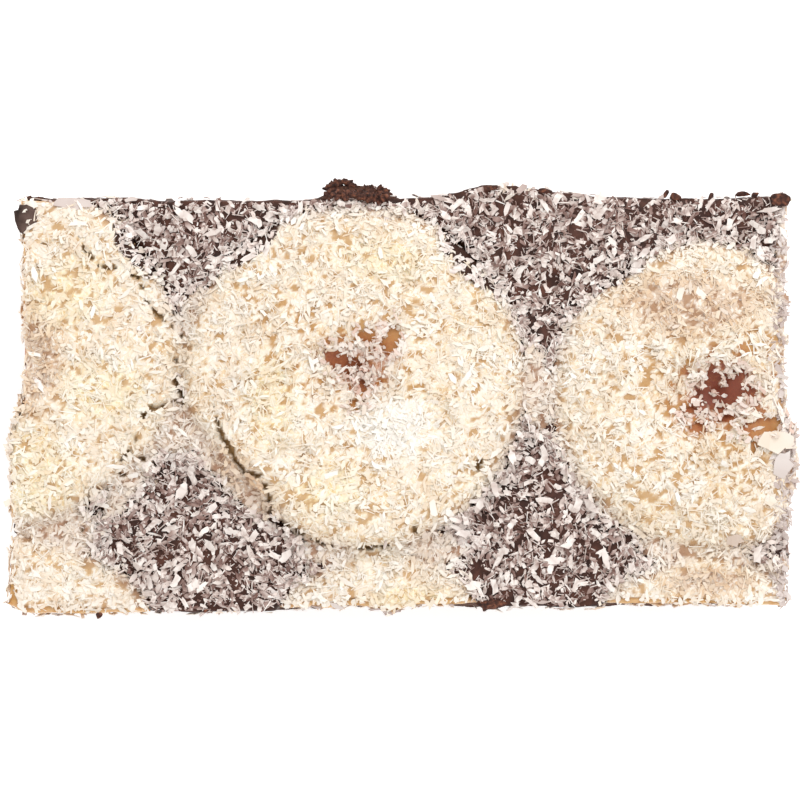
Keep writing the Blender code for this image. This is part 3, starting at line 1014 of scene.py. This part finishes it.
def join_bits(name, shapes, bits, across, mottle):
    """Joins copies of the shapes, each at its place, into one piece. A bit is (shape, size, turn, place,
    shade). Its shade is its place on the piece's own map, which the material reads, and changes by
    across from end to end and side to side of the bit, and by about mottle from corner to corner."""
    points, triangles, shades = [], [], []
    count = 0
    kinds = np.array([bit[0] for bit in bits]) % len(shapes)
    sizes, turns, places, shade = (np.array([bit[item] for bit in bits]) for item in (1, 2, 3, 4))
    for index, (form, corners) in enumerate(shapes):
        mine = np.nonzero(kinds == index)[0]
        placed = np.einsum("nij,nvj->nvi", turns[mine], form[None] * sizes[mine][:, None])
        points.append((placed + places[mine][:, None]).reshape(-1, 3))
        starts = count + np.arange(len(mine)) * len(form)
        triangles.append((corners[None] + starts[:, None, None]).reshape(-1, 3))
        count += len(mine) * len(form)
        local = form[corners].reshape(-1, 3)[:, :2] * (across, 0.01)
        tones = shade[mine][:, None] + local[None]
        tones[..., 0] += dice.normal(0, mottle, (len(mine), len(form)))[:, corners.ravel()]
        shades.append(tones.reshape(-1, 2))
    mesh = bpy.data.meshes.new(name)
    mesh.from_pydata(np.concatenate(points).tolist(), [], np.concatenate(triangles).tolist())
    shade_map = mesh.uv_layers.new(name="OFBake")
    flat = np.clip(np.concatenate(shades), 0.001, 0.999).astype(np.float32).ravel()
    shade_map.uv.foreach_set("vector", flat)
    piece = bpy.data.objects.new(name, mesh)
    bpy.context.scene.collection.objects.link(piece)
    return piece


def strew(count, weights, length, width, thick, shade, sink=0.1, tips=0.1, slim=0.8):
    """Strews bits over the bed where the weights map says, with sizes in mm between (smallest, largest).
    They sink in by sink, lean by about tips and are at most slim times as wide as long."""
    chances = (weights * top).ravel()
    cells = dice.choice(chances.size, count, p=chances / chances.sum())
    rows, columns = np.unravel_index(cells, weights.shape)
    xs = map_x[rows, columns] + dice.uniform(-0.5, 0.5, count) * CELL
    ys = map_y[rows, columns] + dice.uniform(-0.5, 0.5, count) * CELL
    longs = (length[0] + (length[1] - length[0]) * dice.random(count) ** 1.6) * MM
    wides = np.minimum(dice.uniform(*width, count) * MM, longs * slim)
    deeps = dice.uniform(*thick, count) * MM
    turns = dice.uniform(0, 2 * math.pi, count)
    tipped = dice.normal(0, tips, count)
    kinds = dice.integers(KINDS, size=count)
    shades = shade(rows, columns, count)
    bits = []
    for k in range(count):
        lie = let_fall(xs[k], ys[k], turns[k], longs[k], wides[k], deeps[k], sink * MM, tipped[k])
        if lie:
            bits.append((kinds[k], (longs[k], wides[k], deeps[k]), lie[0], lie[1], shades[k]))
    return bits


# The rows of shades on the fruit, from first to last, which stays clear of the map's edge
ROW_SOAKED, ROW_CLEAN, ROW_BY_GLAZE, ROW_STAINED, ROW_WALL = 0.0, 0.25, 0.5, 0.75, 0.97


def taken_up(rows, columns, count):
    """Which row of shades a bit on the fruit takes, by what it took up where it lies."""
    clean = 1 - soaked[rows, columns] * dice.uniform(0.5, 1.0, count)
    yellow = ROW_SOAKED + (ROW_CLEAN - ROW_SOAKED) * clean
    # Greyer also in the dull places, in part as painted shade
    greyed = ROW_BY_GLAZE * glaze_tint_and_shade[rows, columns] * dice.uniform(0.5, 1.0, count)
    reddened = ROW_STAINED * stain[rows, columns] * dice.uniform(0.5, 1.0, count)
    row = np.clip(np.max([yellow, greyed, reddened], axis=0), 0.01, ROW_STAINED)
    return np.where(dice.random(count) < beside_wall[rows, columns], ROW_WALL, row)


def on_fruit_shade(pale):
    """Shades for bits on the fruit that are this pale at most places."""
    def shade(rows, columns, count):
        # Bits are darker and more golden where the bed's lumps are low: in part damper there, in part
        # painted shade
        tone = pale + 0.3 * (dice.beta(1.5, 1.2, count) - 0.5) + 0.7 * (lumps[rows, columns] - 0.5)
        # Darker in the dull places, in part as painted shade
        tone += 0.5 * dry[rows, columns] - 0.4 * dull_and_shaded[rows, columns] + 0.4 * (drifts[rows, columns] - 0.5)
        return np.stack([np.clip(tone, 0.08, 0.92), taken_up(rows, columns, count)], 1)
    return shade


def in_hollow_shade(rows, columns, count):
    """In the hollows every bit is reddened, some more than others."""
    return np.stack([dice.uniform(0.45, 0.92, count), ROW_STAINED * dice.uniform(0.5, 0.9, count)], 1)


def glaze_shade(rows, columns, count):
    """On the chocolate thin bits look grey, and those near the fruit are cleaner."""
    pale = dice.beta(1.1, 0.75, count) + 1.5 * (near_fruit[rows, columns] - 0.03)
    return np.stack([np.clip(pale, 0.08, 0.92), dice.uniform(0.02, 0.98, count)], 1)


def bright_shade(rows, columns, count):
    """Broad clean flakes are among the whitest."""
    return np.stack([dice.uniform(0.72, 0.92, count), np.full(count, ROW_CLEAN)], 1)


shred_forms = [grate_shred(seed, (0.0,) if seed % 3 else (-0.2, 0.22)) for seed in range(12)]
shard_forms = [shave_bit(seed, 4 + seed % 3, (0.0,), 1.5) for seed in range(9)]
chip_forms = [shave_bit(20 + seed, 4 + seed % 3, (0.0,), 1.8) for seed in range(9)]
big_chip_forms = [shave_bit(30 + seed, 4 + seed % 2, (-0.2, 0.18), 1.5, True) for seed in range(8)]


def coconut_material(name, rows):
    """Dried coconut: matt and waxy. The map's first axis runs from dull, where the bit is thin and
    lets what is under it show, to white; its second runs through the rows of shades."""
    nut, tree, shader = new_material(name, 0.6, 1.3)
    shade_map = add_node(tree, "UVMap", uv_map="OFBake").outputs["UV"]
    axes = add_node(tree, "SeparateXYZ", {"Vector": shade_map})
    tone = add_node(tree, "ValToRGB", {"Fac": axes.outputs["X"]}, rows[0]).outputs["Color"]
    for index, row in enumerate(rows[1:]):
        share = add_node(
            tree,
            "MapRange",
            {"Value": axes.outputs["Y"]},
            from_min=index / (len(rows) - 1),
            from_max=(index + 1) / (len(rows) - 1),
        ).outputs["Result"]
        next_tone = add_node(tree, "ValToRGB", {"Fac": axes.outputs["X"]}, row).outputs["Color"]
        inputs = {"Factor": share, MIX_UNDER: tone, MIX_OVER: next_tone}
        tone = add_node(tree, "Mix", inputs, data_type="RGBA").outputs[MIXED]
    tree.links.new(tone, shader.inputs["Base Color"])
    return nut


fruit_nut = coconut_material(
    "dried coconut on fruit",
    [
        [(0.0, "#dcb989"), (0.35, "#ecd8b2"), (0.7, "#f5ecd8"), (1.0, "#fdfaf0")],
        [(0.0, "#d9b794"), (0.35, "#ead7c0"), (0.7, "#f4ece1"), (1.0, "#fdfbf8")],
        [(0.0, "#b89f8f"), (0.35, "#d9c8bb"), (0.7, "#eee4db"), (1.0, "#fcf8f4")],
        [(0.0, "#b57d69"), (0.5, "#dcb6a6"), (1.0, "#f6e7df")],
        [(0.0, "#8f7d77"), (0.4, "#b9aba6"), (0.7, "#d5ccc8"), (1.0, "#f2eeec")],
    ],
)
glaze_nut = coconut_material(
    "dried coconut on chocolate",
    [
        [(0.0, "#7c5d54"), (0.3, "#ad968f"), (0.6, "#ded1ca"), (1.0, "#fffcf8")],
        [(0.0, "#6f4f47"), (0.4, "#a9918a"), (1.0, "#fbf3ee")],
        [(0.0, "#63433b"), (0.5, "#a0867e"), (1.0, "#f3e6df")],
    ],
)

# What the shades of the bits follow, besides the maps of the bed
drifts = patches(2.4 * MM, 31)
beside_wall = ramp(map_x, cad_high.x - 5 * MM, cad_high.x - 1.5 * MM)

# Where the loose coconut fell: thickly on the bed, over its border in clumps, on its very border, a
# little in the hollows, and on the glaze most of all along the fruit.
by_crack = 1 - ramp(from_cracks(map_x, map_y), 0.1 * MM, 0.8 * MM)
loose = (1 - 0.93 * bare) * (1 - crack) * (1 - 0.85 * by_crack)
on_slab = ramp(edge, 0.5, 0.85)
on_fruit = blur(covered.astype(float), 0.5 * MM) * loose * on_slab * (0.5 + patches(4 * MM, 21))
on_fruit *= 1 - 0.9 * thin
on_fruit *= 1 - 0.95 * glazed
clumps = (0.3 + patches(1.1 * MM, 26)) ** 2
spilt = blur(covered.astype(float), 1.8 * MM) * (0.5 + patches(2.5 * MM, 27))
stayed = on_slab * loose * (1 - 0.85 * thin) * np.maximum(clumps, dry)
spilt *= stayed * (1 - 0.6 * sparse) * (1 - 0.9 * glazed)
at_shore = np.clip(blur(covered.astype(float), 0.8 * MM), 0, 1)
at_shore *= 4 * (1 - at_shore) * top * (1 - crack) * (1 - 0.9 * by_crack) * on_slab * (1 - 0.7 * glazed)
in_hollows = ovals(BARE[:BARE_WITH_BITS], 1.0, 2.2) * covered * (1 - 0.85 * bare)
rim = np.exp(-((near_fruit - 0.22) / 0.16) ** 2)
on_glaze = blur((top & ~covered & (zone != FRUIT)).astype(float), 0.45 * MM) * (1 - crack)
on_glaze = np.maximum(on_glaze, 0.9 * glazed * covered)
on_glaze *= (0.25 + patches(3.5 * MM, 22) + rim) * (0.2 + patches(1.5 * MM, 28)) * ramp(edge, 0.5, 0.9)

# The bits strewn first lie lowest, under the others, and get darker, more golden shades: in part damp from
# the fruit, in part painted shade
shreds = strew(4800, on_fruit, (1.0, 3.2), (0.24, 0.5), (0.07, 0.12), on_fruit_shade(0.38), sink=0.1)
flakes = strew(4200, on_fruit, (0.9, 2.4), (0.4, 0.85), (0.05, 0.1), on_fruit_shade(0.5), sink=0.09)
shreds += strew(5200, spilt, (1.0, 3.2), (0.22, 0.42), (0.07, 0.12), on_fruit_shade(0.6), sink=0.09)
flakes += strew(2800, spilt, (0.8, 2.2), (0.35, 0.7), (0.05, 0.1), on_fruit_shade(0.64), sink=0.08)
flakes += strew(1050, at_shore, (0.9, 2.6), (0.4, 0.95), (0.06, 0.12), on_fruit_shade(0.62), tips=0.25)
flakes += strew(50, on_fruit, (2.0, 3.4), (0.7, 1.1), (0.1, 0.14), bright_shade)
flakes += strew(
    420, in_hollows, (0.7, 2.0), (0.35, 0.85), (0.05, 0.1), in_hollow_shade, sink=0.05, tips=0.14
)
slivers = strew(3000, on_glaze, (0.35, 1.1), (0.2, 0.45), (0.1, 0.18), glaze_shade, tips=0.4)
chips = strew(4000, on_glaze, (0.8, 2.4), (0.45, 1.1), (0.07, 0.13), glaze_shade, tips=0.32, slim=0.55)
slivers += strew(2200, on_glaze, (0.9, 2.4), (0.2, 0.38), (0.08, 0.16), glaze_shade, tips=0.4)
big_chips = strew(230, on_glaze, (1.6, 3.8), (0.8, 1.7), (0.1, 0.16), bright_shade, tips=0.12, slim=0.6)

STUCK_THICK = 0.14 * MM
NEAREST_WALL = 30 * MM  # no cut wall is nearer the middle


def stick(count, facing, high, reach, shade):
    """Presses flat bits on the cut wall that faces this way, up to this height. They thin out downward
    within about reach."""
    out = Vector(facing)
    across = Vector((-out.y, out.x, 0))
    half_run = abs(cad_high.dot(across) - cad_low.dot(across)) / 2
    bits = []
    for k in range(count):
        depth = min(dice.exponential(reach), high - 2 * MM)
        start = out * 0.1 + across * dice.uniform(-half_run, half_run) + Vector((0, 0, high - depth))
        hit, normal, index, distance = slice_tree.ray_cast(start, -out)
        if hit is None or hit.dot(out) < NEAREST_WALL:
            continue
        turn = Matrix.Rotation(dice.uniform(0, 2 * math.pi), 3, normal)
        up = (normal + Vector(dice.normal(0, 0.22, 3))).normalized()
        forward = (turn @ Vector((0, 0, 1)).cross(normal)).normalized()
        side_way = up.cross(forward).normalized()
        length = dice.uniform(1.0, 2.9) * MM
        width = min(dice.uniform(0.5, 1.3) * MM, length * 0.9)
        frame_of_bit = np.array([side_way.cross(up), side_way, up]).T
        place = hit + normal * dice.uniform(0.1, 0.5) * MM
        bits.append((dice.integers(KINDS), (length, width, STUCK_THICK), frame_of_bit, place, shade()))
    return bits


def grey_wall():
    """Shades for bits that took up the grey of the wall."""
    return dice.uniform(0.35, 0.9), ROW_WALL


def warm_wall():
    """Shades for bits that stayed clean or took up a little of the glaze."""
    return dice.uniform(0.2, 0.9), dice.uniform(ROW_CLEAN, ROW_BY_GLAZE)


flakes += stick(220, (-1, 0, 0), 40 * MM, 5 * MM, warm_wall)
flakes += stick(110, (0, -1, 0), 38 * MM, 6 * MM, warm_wall)
flakes += stick(800, (1, 0, 0), 39.5 * MM, 4 * MM, grey_wall)
flakes += stick(80, (0, -1, 0), 38 * MM, 6 * MM, grey_wall)
flakes += stick(100, (0, 1, 0), 38 * MM, 6 * MM, grey_wall)

# The few largest shavings, one by one: (node, across and along from its stone, length, width, turn,
# shade), in mm and degrees
SHAVING_THICK = 0.16 * MM
SHAVING_FORM = 3  # of the broad chips
SHAVINGS = [
    ("peach_right", 12.4, -8.3, 7.6, 3.6, -4, (0.6, ROW_CLEAN)),
    ("peach_right", 4.7, -26.6, 3.4, 2.3, 10, (0.35, ROW_BY_GLAZE)),
    ("peach_right", 11.2, -18.9, 2.6, 2.0, 70, (0.6, ROW_CLEAN)),
    ("peach_right", 13.4, -12.4, 5.6, 3.2, 80, (0.78, ROW_WALL)),
    ("peach_left", 12.9, 28.6, 8.2, 2.4, -1, (0.62, ROW_WALL)),
    ("peach_left", 5.0, 28.2, 2.6, 1.7, 10, (0.75, ROW_CLEAN)),
]
shavings = []
for node, across, along, length, width, turn, shade in SHAVINGS:
    x, y = stones[node].x + across * MM, stones[node].y + along * MM
    size = (length * MM, width * MM, SHAVING_THICK)
    lie = let_fall(x, y, math.radians(turn), *size, 0.0)
    shavings.append((SHAVING_FORM, size, lie[0], lie[1], shade))

for name, forms, bits, nut, across, mottle in (
    ("coconut_shreds_low", shred_forms, shreds[: len(shreds) // 2], fruit_nut, 0.1, 0.03),
    ("coconut_shreds_top", shred_forms, shreds[len(shreds) // 2:], fruit_nut, 0.1, 0.03),
    ("coconut_flakes_low", shard_forms, flakes[: len(flakes) // 2], fruit_nut, 0.1, 0.03),
    ("coconut_flakes_top", shard_forms, flakes[len(flakes) // 2:], fruit_nut, 0.1, 0.03),
    ("coconut_shavings", big_chip_forms, shavings, fruit_nut, 0.1, 0.04),
    ("coconut_slivers", shred_forms, slivers, glaze_nut, 0.3, 0.05),
    ("coconut_chips", chip_forms, chips, glaze_nut, 0.4, 0.18),
    ("coconut_big_chips", big_chip_forms, big_chips, glaze_nut, 0.1, 0.12),
):
    piece = join_bits(name, forms, bits, across, mottle)
    wear(piece, nut, smooth=False)

# ---------------------------------------------------------------- crumbs
# Crumbs of sponge and glaze that the knife tore loose: they hang on the back edge, on the front edge
# and at the corners, and a ragged clump of them sits on the lump of crumb at the back.
CRUMB_SCALE = 1.15
CRUMB_SINK = 0.6 * MM
CRUMB_LOWEST = 20 * MM
# The single crumbs: (across and along from the middle of the slice, length, width, height, turn), in
# mm and degrees
TORN = [
    (70.6, 37.2, 3.7, 2.5, 2.2, 5),
    (66.2, 38.3, 1.4, 1.0, 1.0, 40),
    (64.0, 38.4, 2.8, 1.0, 1.2, 5),
    (58.0, 37.8, 1.6, 1.2, 1.2, 60),
    (51.2, 37.9, 2.4, 1.2, 1.4, -15),
    (49.6, 38.5, 1.6, 1.0, 1.0, 75),
    (27.0, 38.9, 2.4, 1.0, 0.9, -8),
    (17.0, 39.4, 2.2, 0.9, 0.9, 12),
    (17.4, -37.8, 5.6, 2.0, 1.2, 4),
    (16.0, -38.8, 1.4, 1.0, 0.9, 40),
    (-36.2, -39.2, 1.2, 0.8, 0.8, 0),
    (-55.8, -39.9, 1.4, 1.0, 0.9, 30),
]


def tear_crumb(seed):
    """A crumb one unit across, with uneven torn faces."""
    draw = np.random.default_rng(seed)
    bpy.ops.object.select_all(action="DESELECT")
    bpy.ops.mesh.primitive_ico_sphere_add(subdivisions=2, radius=0.5)
    bit = bpy.context.object
    bpy.ops.object.mode_set(mode="EDIT")
    bpy.ops.mesh.select_all(action="SELECT")
    bpy.ops.transform.vertex_random(offset=0.09, uniform=0.0, normal=0.3, seed=seed)
    for cut in range(4):
        facing = Vector(draw.normal(0, 1, 3)).normalized()
        bpy.ops.mesh.select_all(action="SELECT")
        place = facing * draw.uniform(0.25, 0.36)
        bpy.ops.mesh.bisect(plane_co=place, plane_no=facing, use_fill=True, clear_outer=True)
    bpy.ops.object.mode_set(mode="OBJECT")
    return mesh_arrays(bit)


# The clump on the lump at the back, in two parts: (across and along from the middle of the slice, half
# length, half width), and the hole in it: (across, along, radius), in mm
CLUMP = [(-11.2, 39.4, 3.0, 2.0), (-5.2, 38.5, 3.2, 1.5)]
CLUMP_CRUMBS = 230
CLUMP_TWIST = 57  # degrees that a crumb is turned for each radian round the middle
HOLE = (-10.2, 39.7, 0.95)
for k in range(CLUMP_CRUMBS):
    x, y, half_length, half_width = CLUMP[k % 2]
    turn, away = dice.uniform(0, 2 * math.pi), math.sqrt(dice.random())
    x += half_length * away * math.cos(turn)
    y += half_width * away * math.sin(turn)
    if math.hypot(x - HOLE[0], y - HOLE[1]) > HOLE[2]:
        size = (dice.uniform(0.6, 1.5), dice.uniform(0.5, 1.1), dice.uniform(0.6, 1.2))
        TORN.append((x, y, *size, CLUMP_TWIST * turn))

crumb_forms = [tear_crumb(seed) for seed in range(7)]
torn_bits = []
for index, (x, y, length, width, height, turn) in enumerate(TORN):
    column, row = cell_of(x * MM, y * MM)
    beside = bed[column - 4: column + 5, row - 4: row + 5]
    rest = max(beside.max() - CRUMB_SINK, CRUMB_LOWEST)
    lie = np.array(Matrix.Rotation(math.radians(turn), 3, "Z"))
    size = np.array((length, width, height)) * MM * CRUMB_SCALE
    torn_bits.append((index, size, lie, (x * MM, y * MM, rest), (0.5, 0.5)))
crumbs = join_bits("torn_crumbs", crumb_forms, torn_bits, 0.0, 0.0)
# Their material needs no map of shades.
crumbs.data.uv_layers.remove(crumbs.data.uv_layers["OFBake"])

# Torn sponge and glaze: redder than the skin of the glaze, rough and dry.
torn, tree, shader = new_material("torn chocolate crumb", 0.8, 1.45)
reds = [(0.35, "#2c1611"), (0.52, "#4d2b20"), (0.7, "#86533d")]
place = add_node(tree, "TexCoord").outputs["Object"]
grain = add_node(tree, "TexNoise", {"Vector": place}, scale=1 / (0.7 * MM), detail=5.0).outputs["Fac"]
tone = add_node(tree, "ValToRGB", {"Fac": grain}, reds).outputs["Color"]
tree.links.new(tone, shader.inputs["Base Color"])
relief = add_node(tree, "Bump", {"Height": grain}, strength=0.8, distance=0.3 * MM)
tree.links.new(relief.outputs["Normal"], shader.inputs["Normal"])
wear(crumbs, torn)

# A flat plate of dry glaze broken off at the back left corner, half under the coconut.
PLATE_WIDTH = 3.6 * MM
PLATE_LENGTH = 5.2 * MM
PLATE_THICK = 0.5 * MM
PLATE_PLACE = (-69.8 * MM, 33.6 * MM)
PLATE_PROP = (-69.2 * MM, 33.6 * MM)  # where the coconut holds it up
PLATE_SINK = 0.2 * MM
bpy.ops.object.select_all(action="DESELECT")
bpy.ops.mesh.primitive_circle_add(vertices=18, radius=0.5, fill_type="NGON")
plate = bpy.context.object
plate.name = "broken_glaze_plate"
for vertex in plate.data.vertices:
    vertex.co *= dice.uniform(0.78, 1.12)
bpy.ops.object.mode_set(mode="EDIT")
bpy.ops.mesh.select_all(action="SELECT")
bpy.ops.transform.resize(value=(PLATE_WIDTH, PLATE_LENGTH, 1), center_override=(0, 0, 0))
bpy.ops.mesh.extrude_region_move(TRANSFORM_OT_translate={"value": (0, 0, PLATE_THICK)})
bpy.ops.mesh.normals_make_consistent(inside=False)
bpy.ops.transform.translate(value=(*PLATE_PLACE, bed[cell_of(*PLATE_PROP)] - PLATE_SINK))
bpy.ops.object.mode_set(mode="OBJECT")

# Dry glaze with a bloom of sugar on it, greyer than where it lies under the coconut.
dry_glaze, tree, shader = new_material("dry bloomed glaze", 0.7, 1.35)
greys = [(0.35, "#55423c"), (0.65, "#67534c")]
place = add_node(tree, "TexCoord").outputs["Object"]
bloom = add_node(tree, "TexNoise", {"Vector": place}, scale=1 / (1.2 * MM), detail=4.0).outputs["Fac"]
tone = add_node(tree, "ValToRGB", {"Fac": bloom}, greys).outputs["Color"]
tree.links.new(tone, shader.inputs["Base Color"])
wear(plate, dry_glaze)

# ---------------------------------------------------------------- table, light and camera
# A white table top, lit from inside as in a product studio, a large soft light high at the back right
# and light from all round.
TABLE_SIZE = 3.0
TABLE_DROP = 0.2 * MM
TABLE_GLOW = 0.5
ROOM_LIGHT = 0.945
KEY_PLACE = (0.2, 0.38, 0.8)
KEY_SIZE = 0.45
KEY_POWER = 2.6

bpy.ops.mesh.primitive_plane_add(size=TABLE_SIZE, location=(0, 0, cad_low.z - TABLE_DROP))
table = bpy.context.object
table.name = "table_top"
white, tree, shader = new_material("white laminate", 0.8, 1.5)
shader.inputs["Base Color"].default_value = linear("#fbfbfb")
shader.inputs["Emission Color"].default_value = linear("#ffffff")
shader.inputs["Emission Strength"].default_value = TABLE_GLOW
table.data.materials.append(white)

world = bpy.data.worlds.new("soft room")
bpy.context.scene.world = world
world.use_nodes = True
room = world.node_tree.nodes["Background"]
room.inputs["Color"].default_value = linear("#fffcf9")
room.inputs["Strength"].default_value = ROOM_LIGHT

bpy.ops.object.light_add(type="AREA", location=KEY_PLACE)
key_light = bpy.context.object
key_light.name = "soft_key"
key_light.data.shape = "DISK"
key_light.data.size = KEY_SIZE
key_light.data.energy = KEY_POWER
key_light.rotation_euler = (-Vector(KEY_PLACE)).to_track_quat("-Z", "Y").to_euler()

# The camera looks straight down, from as far as it takes to see so much of the top of the slice.
FRAME_WIDTH = 148.8 * MM
TOP_PLANE = 37.0 * MM
LENS = 200.0
SENSOR = 36.0
middle = (cad_low + cad_high) / 2
bpy.ops.object.camera_add(location=(middle.x, middle.y, TOP_PLANE + FRAME_WIDTH * LENS / SENSOR))
camera = bpy.context.object
camera.name = "camera"
camera.data.lens = LENS
camera.data.sensor_width = SENSOR
camera.data.clip_start = 0.01
bpy.context.scene.camera = camera
bpy.context.scene.view_settings.view_transform = "Standard"
